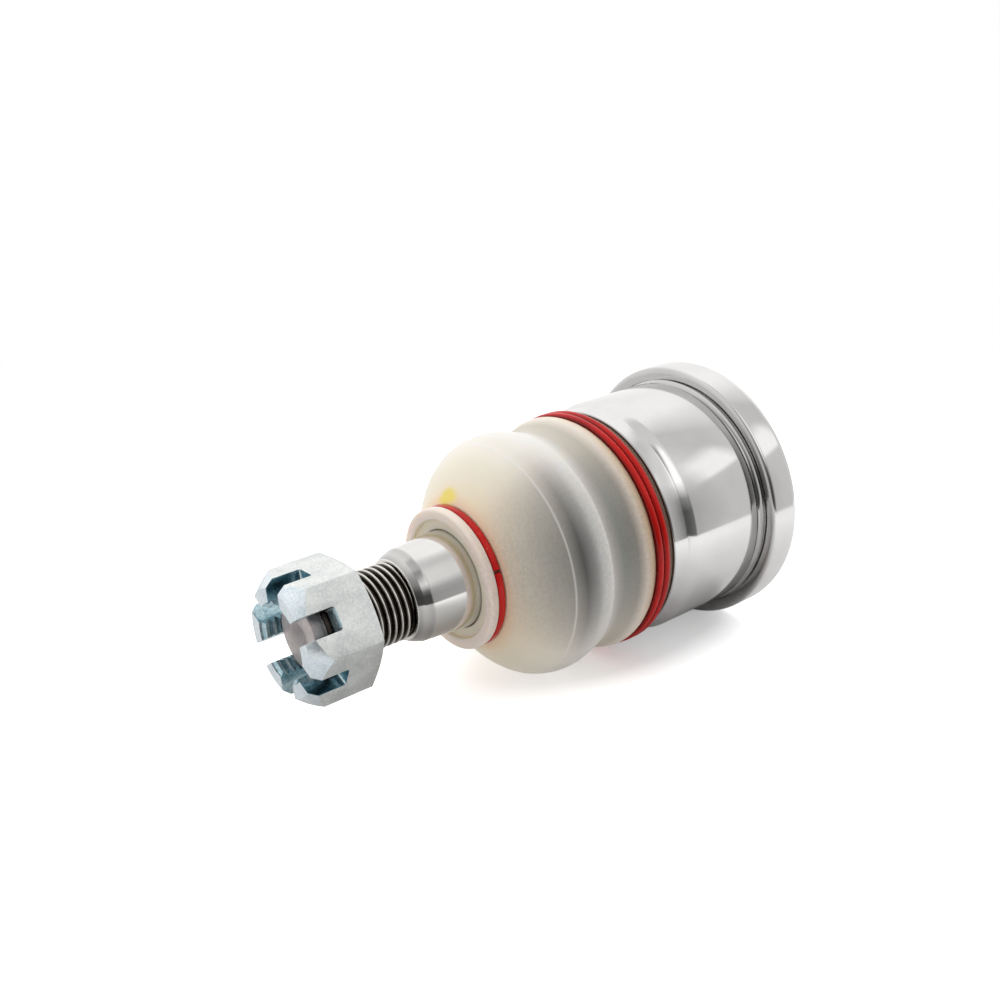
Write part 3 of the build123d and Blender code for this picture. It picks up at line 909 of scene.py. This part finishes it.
def nut_envelope():
    """The nut's turned form: rear cone, coned crown, bore, and the thread that shows in the crown."""
    rear_drop = (NUT_CORNER_RADIUS - NUT_FLAT_RADIUS) * tan(radians(NUT_REAR_ANGLE))
    reach = NUT_CORNER_RADIUS + BLANK_OVERRUN
    crown = NUT_END - NUT_CROWN_LENGTH
    thread_from = THREAD_END + 0.3
    outline = rounded([
        (thread_from, NUT_BORE, 0.0), (NUT_START, NUT_BORE, 0.0), (NUT_START, NUT_FLAT_RADIUS, 0.0),
        (NUT_START + rear_drop, NUT_CORNER_RADIUS, 0.0), (NUT_START + rear_drop, reach, 0.0),
        (crown, reach, 0.0), (crown, NUT_CORNER_RADIUS, 0.0),
        (NUT_END, NUT_CORNER_RADIUS - NUT_CROWN_DROP, 0.0), (NUT_END, NUT_BORE, 0.0),
    ])
    mesh_data = bmesh.new()
    add_grid(mesh_data, turned_rows(outline), False, NUT_SEGMENTS)

    def limit(station, radius):
        """The inner thread between its two chamfered ends."""
        entry = NUT_BORE - (station - thread_from) * 1.5
        leave = NUT_BORE - (NUT_END - station) * 1.2
        return max(radius, entry, leave)

    add_thread(mesh_data, thread_from, NUT_END, NUT_THREAD_CREST, NUT_BORE, limit, NUT_SEGMENTS)
    return finish_mesh("envelope", mesh_data)


def slot_tool(index):
    """A box with rounded bottom corners that cuts one slot across the crown's wall."""
    top = NUT_END + CUT_OVERRUN
    bottom = NUT_END - SLOT_DEPTH
    half = SLOT_WIDTH / 2
    section = rounded([
        (top, -half, 0.0), (bottom, -half, SLOT_CORNER), (bottom, half, SLOT_CORNER), (top, half, 0.0),
    ])
    turn = Matrix.Rotation(TURN * index / NUT_SIDES, 3, "X")
    mesh_data = bmesh.new()
    ends = []
    for height in (0.5, NUT_CORNER_RADIUS + CUT_OVERRUN):
        ends.append([mesh_data.verts.new(turn @ (Vector((BALL_STATION - p.x, p.y, height)) * MM))
                     for p in section])
    for k in range(len(section)):
        beside = (k + 1) % len(section)
        mesh_data.faces.new((ends[0][k], ends[1][k], ends[1][beside], ends[0][beside]))
    mesh_data.faces.new(ends[0])
    mesh_data.faces.new(ends[1])
    return finish_mesh("slot", mesh_data)


def make_nut():
    """Castle nut: the hexagon inside its turned envelope, slotted, its outer edges eased."""
    nut = cut(hexagon_blank(), nut_envelope(), "INTERSECT")
    for index in range(NUT_SIDES):
        cut(nut, slot_tool(index), "DIFFERENCE")
    mesh_data = bmesh.new()
    mesh_data.from_mesh(nut.data)
    bmesh.ops.remove_doubles(mesh_data, verts=mesh_data.verts, dist=2e-6)
    weight = mesh_data.edges.layers.float.new("bevel_weight_edge")
    for edge in mesh_data.edges:
        outside = min(hypot(v.co.y, v.co.z) for v in edge.verts) > (NUT_BORE + 0.35) * MM
        if outside and edge.is_manifold and edge.calc_face_angle() > radians(12):
            edge[weight] = 1.0
    mesh_data.to_mesh(nut.data)
    mesh_data.free()
    bevel = nut.modifiers.new("edges", "BEVEL")
    bevel.limit_method = "WEIGHT"
    bevel.width = NUT_EDGE * MM
    bevel.segments = 3
    bevel.use_clamp_overlap = True
    bpy.context.view_layer.update()
    apply_modifiers(nut)
    nut.data.shade_smooth()
    nut.data.set_sharp_from_angle(angle=radians(30))
    for face in nut.data.polygons:
        face.material_index = nut_look(face)
    return nut


def nut_look(face):
    """Which of the nut's three looks a face has: flats, crown, or slots and bore, which carry painted
    shade.
    """
    station = BALL_STATION - face.center.x / MM
    radius = hypot(face.center.y, face.center.z) / MM
    outward = Vector((0.0, face.center.y, face.center.z)).normalized()
    across = abs(face.normal.dot(outward))
    along = abs(face.normal.x)
    in_crown = station > NUT_END - SLOT_DEPTH - 0.1
    if radius < NUT_BORE + 0.2:
        return 2
    if in_crown and along < 0.5 and across < 0.55:
        return 2
    if in_crown and station < NUT_END - 4.0 and along > 0.8:
        return 2
    if station > NUT_END - 4.2 and along > 0.3:
        return 1
    return 0


# Scene


def floor_normal():
    """Up, away from the floor that touches the flange's edge and the boot's bulge."""
    flange_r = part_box("housing")[1].z / MM
    tilt = atan2(flange_r - BULGE_RADIUS, BULGE_STATION - FLANGE_TOUCH)
    roll = radians(ROLL)
    return Vector((sin(tilt), -cos(tilt) * sin(roll), cos(tilt) * cos(roll)))


def make_camera():
    """The camera, fitted to the photograph."""
    data = bpy.data.cameras.new("camera")
    data.lens = LENS
    data.sensor_width = SENSOR
    data.sensor_fit = "HORIZONTAL"
    data.clip_start = 0.01
    camera = bpy.data.objects.new("camera", data)
    back = CAMERA_RIGHT.cross(CAMERA_UP)
    turn = Matrix((CAMERA_RIGHT, CAMERA_UP, back)).transposed().to_4x4()
    camera.matrix_world = Matrix.Translation(CAMERA_PLACE) @ turn
    bpy.context.scene.collection.objects.link(camera)
    bpy.context.scene.camera = camera


def floor_axes():
    """Right and away on the floor, as the camera sees them, and up."""
    up = floor_normal()
    right = (CAMERA_RIGHT - CAMERA_RIGHT.dot(up) * up).normalized()
    return right, up.cross(right), up


def make_floor():
    """A white floor that keeps the part's shadow. Steel mirrors it near the part, darkened there by painted
    shadow, and the room beyond.
    """
    right, away, up = floor_axes()
    flange_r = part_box("housing")[1].z / MM
    touch = place(FLANGE_TOUCH, 0.0, 0.0) - up * flange_r * MM * hypot(up.y, up.z)
    turn = Matrix((right, away, up)).transposed().to_4x4()
    mesh_data = bmesh.new()
    bmesh.ops.create_grid(mesh_data, x_segments=8, y_segments=8, size=3.0)
    floor = finish_mesh("floor", mesh_data)
    floor.matrix_world = Matrix.Translation(up * touch.dot(up)) @ turn
    material, tree, shader = new_material("white_floor")
    output = tree.nodes["Material Output"]
    tree.nodes.remove(shader)
    path = add_node(tree, "ShaderNodeLightPath")
    where = add_node(tree, "ShaderNodeTexCoord").outputs["Object"]
    split = add_node(tree, "ShaderNodeSeparateXYZ", {0: where})
    east, north = split.outputs[0], split.outputs[1]
    stud = -Vector((1.0, 0.0, 0.0))
    along = math(tree, "ADD", math(tree, "MULTIPLY", east, stud.dot(right)),
                 math(tree, "MULTIPLY", north, stud.dot(away)))
    beside = math(tree, "SUBTRACT", math(tree, "MULTIPLY", north, stud.dot(right)),
                  math(tree, "MULTIPLY", east, stud.dot(away)))
    distance = length(tree, east, north)
    # painted shadow: as steel mirrors it, the floor is darker near the part and towards the stud's end
    mirrored_shade = math(tree, "MULTIPLY", ramp(tree, distance, [(0.06, 0.78), (0.13, 1.0)]),
                    ramp(tree, math(tree, "DIVIDE", along, 100 * MM), [(0.10, 1.0), (0.35, 0.74)]))
    white = mix(tree, path.outputs["Is Glossy Ray"], (FLOOR_WHITE, FLOOR_WHITE, FLOOR_WHITE), mirrored_shade)
    diffuse = add_node(tree, "ShaderNodeBsdfDiffuse", {"Color": white})
    along = math(tree, "DIVIDE", math(tree, "SUBTRACT", along, SHADOW_MIDDLE), SHADOW_LENGTH)
    beside = math(tree, "DIVIDE", beside, SHADOW_WIDTH)
    under = length(tree, along, beside)
    spill = ramp(tree, math(tree, "MULTIPLY", under, 0.5), [(0.38, SHADOW_LIFT), (0.56, FLOOR_LIFT)])
    lift = math(tree, "MULTIPLY", path.outputs["Is Camera Ray"], spill)
    through = math(tree, "MULTIPLY", path.outputs["Is Transmission Ray"], FLOOR_LIFT)
    lift = math(tree, "MAXIMUM", lift, through)
    bounce = ramp(tree, math(tree, "MULTIPLY", under, 0.5), [(0.40, BOUNCE), (0.60, 0.0)])
    lift = math(tree, "MAXIMUM", lift, math(tree, "MULTIPLY", path.outputs["Is Diffuse Ray"], bounce))
    glow = add_node(tree, "ShaderNodeEmission", {"Strength": lift})
    lit = add_node(tree, "ShaderNodeAddShader", {0: diffuse.outputs[0], 1: glow.outputs[0]})
    far = ramp(tree, distance, [(0.17, 0.0), (0.34, 1.0)])
    far = math(tree, "MULTIPLY", far, path.outputs["Is Camera Ray"])
    beyond = ramp(tree, distance, [(0.19, 0.0), (0.215, 1.0)])
    beyond = math(tree, "MULTIPLY", beyond, path.outputs["Is Glossy Ray"])
    blank = add_node(tree, "ShaderNodeEmission", {"Strength": 1.0})
    plain = add_node(tree, "ShaderNodeMixShader", {0: far, 1: lit.outputs[0], 2: blank.outputs[0]})
    room = add_node(tree, "ShaderNodeBsdfTransparent")
    both = add_node(tree, "ShaderNodeMixShader", {0: beyond, 1: plain.outputs[0], 2: room.outputs[0]})
    tree.links.new(both.outputs[0], output.inputs["Surface"])
    floor.data.materials.append(material)


def make_world():
    """A white studio: greyer to the right, dark beside the camera, with a strip light at the right."""
    world = bpy.data.worlds.new("studio")
    bpy.context.scene.world = world
    world.use_nodes = True
    tree = world.node_tree
    background = tree.nodes["Background"]
    output = tree.nodes["World Output"]
    where = add_node(tree, "ShaderNodeTexCoord").outputs["Generated"]
    parts = []
    for axis in floor_axes():
        dot = add_node(tree, "ShaderNodeVectorMath", {0: where, 1: axis}, operation="DOT_PRODUCT")
        parts.append(dot.outputs["Value"])
    right, away, up = parts
    azimuth = math(tree, "ADD", math(tree, "DIVIDE", math(tree, "ARCTAN2", right, away), TURN), 0.5)
    height = math(tree, "DIVIDE", math(tree, "ARCSINE", up), radians(90))
    low = ramp(tree, azimuth, [
        (0.00, 0.10), (0.06, 0.45), (0.12, 0.84), (0.25, 1.03), (0.58, 1.05), (0.625, 0.92), (0.66, 0.78),
        (0.70, 0.70), (0.775, 0.64), (0.80, 0.52), (0.83, 0.37), (0.86, 0.16), (0.90, 0.10), (0.95, 0.075),
    ])
    high = ramp(tree, azimuth, [
        (0.00, 0.36), (0.06, 0.60), (0.12, 0.88), (0.25, 1.08), (0.56, 1.08), (0.64, 0.80), (0.67, 0.66),
        (0.73, 0.66), (0.79, 0.80), (0.83, 0.80), (0.86, 1.00), (0.88, 1.30), (0.93, 1.30), (0.955, 0.50),
        (1.00, 0.36),
    ])
    strip_high = ramp(tree, height, [(0.285, 0.0), (0.31, 1.0), (0.44, 1.0), (0.52, 0.0)])
    strip_wide = ramp(tree, azimuth, [(0.715, 0.0), (0.735, 1.0), (0.775, 1.0), (0.80, 0.0)])
    strip = math(tree, "MULTIPLY", strip_high, strip_wide)
    studio = mix(tree, ramp(tree, height, [(0.13, 0.0), (0.25, 0.15), (0.32, 0.5), (0.42, 1.0)]), low, high)
    studio = mix(tree, strip, studio, (1.1, 1.1, 1.1))
    studio = mix(tree, ramp(tree, height, [(0.74, 0.0), (0.84, 1.0)]), studio, (0.74, 0.74, 0.74))
    soft = mix(tree, ramp(tree, height, [(0.10, 0.0), (0.60, 1.0)]), low, (1.0, 1.0, 1.0))
    soft = mix(tree, 1.0, soft, (AMBIENT, AMBIENT, AMBIENT), "MULTIPLY")
    path = add_node(tree, "ShaderNodeLightPath")
    room = mix(tree, path.outputs["Is Glossy Ray"], soft, studio)
    room = mix(tree, path.outputs["Is Transmission Ray"], room, (0.95, 0.95, 0.95))
    room = mix(tree, path.outputs["Is Camera Ray"], room, (1.0, 1.0, 1.0))
    tree.links.new(room, background.inputs["Color"])
    tree.links.new(background.outputs[0], output.inputs["Surface"])


def make_lamps():
    """A large soft lamp above, a little behind and to the left, which steel doesn't mirror."""
    right, away, up = floor_axes()
    data = bpy.data.lights.new("key_lamp", "AREA")
    data.size = KEY_SIZE
    data.energy = KEY_POWER
    lamp = bpy.data.objects.new("key_lamp", data)
    line = (right * -0.35 + away * 0.25 + up).normalized()
    aim = line.to_track_quat("Z", "Y").to_matrix().to_4x4()
    lamp.matrix_world = Matrix.Translation(line * KEY_DISTANCE) @ aim
    lamp.visible_glossy = False
    bpy.context.scene.collection.objects.link(lamp)


make_camera()
make_floor()
make_world()
make_lamps()

# painted shade by station: the housing's relief and its nose under the boot, the shank by the collar and at
# its shoulder
housing_steel = turned_steel("housing_steel", (0.82, 0.81, 0.80), (0.06, 0.12), 0.15, 0.35,
                             [(7.0, 1.0), (7.2, 0.66), (8.9, 0.66), (9.2, 1.0), (33.3, 1.0), (33.6, 0.5)])
shank_steel = turned_steel("shank_steel", (0.83, 0.82, 0.80), (0.06, 0.12), 0.12, 0.3,
                           [(72.0, 0.8), (75.0, 1.0), (82.7, 1.0), (83.1, 0.66), (84.6, 0.80), (85.6, 0.6)])
dress(make_housing(), "housing", "housing_body", [housing_steel])
# painted shade: the cover is a little darker towards its inner face
dress(make_end_cover(), "end_cover", "housing_body",
      [turned_steel("cover_steel", (0.66, 0.66, 0.66), (0.3, 0.42), 0.3, 0.5, [(1.2, 1.0), (3.8, 0.9)])])
dress(make_large_ring(), "boot_large_ring", "boot_body", [red_coat("red_ring", RING_CREST)])
dress(make_small_ring(), "boot_small_ring", "collar_body",
      [red_coat("red_ring_small", SMALL_RING_CREST)])
dress(make_stud_mesh(), "ball_stud", "stud_body",
      [shank_steel, thread_steel("thread_steel"), tip_steel("stud_tip")])
dress(make_nut(), "castle_nut", "nut_body", [
    zinc_plate("zinc_plated_nut", (0.93, 0.945, 0.92), (0.66, 0.69, 0.68), 0.85, (0.30, 0.44), 0.6),
    zinc_plate("zinc_crown", (0.88, 0.93, 0.95), (0.60, 0.70, 0.76), 0.95, (0.14, 0.26), 0.3),
    # painted shade and reflection: the slots and bore are a darker teal copy of the plating
    zinc_plate("zinc_slots_shaded", (0.56, 0.71, 0.76), (0.20, 0.33, 0.38), 1.00, (0.08, 0.22), 0.4),
])
boot = dress(make_boot(), "dust_boot", None, [boot_rubber("boot_silicone")])
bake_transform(boot)

inner_looks = {
    "preload_spring": plain_part("spring_steel", (0.16, 0.16, 0.17), 0.9, 0.4, 600.0),
    "pressure_cup": plain_part("bearing_polymer", (0.80, 0.78, 0.70), 0.0, 0.5, 300.0),
    "bearing_seat": plain_part("bearing_polymer_front", (0.80, 0.78, 0.70), 0.0, 0.5, 300.0),
}
for name, look in inner_looks.items():
    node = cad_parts[name]
    node.data.materials.clear()
    node.data.materials.append(look)

bpy.context.scene.view_settings.view_transform = "Standard"
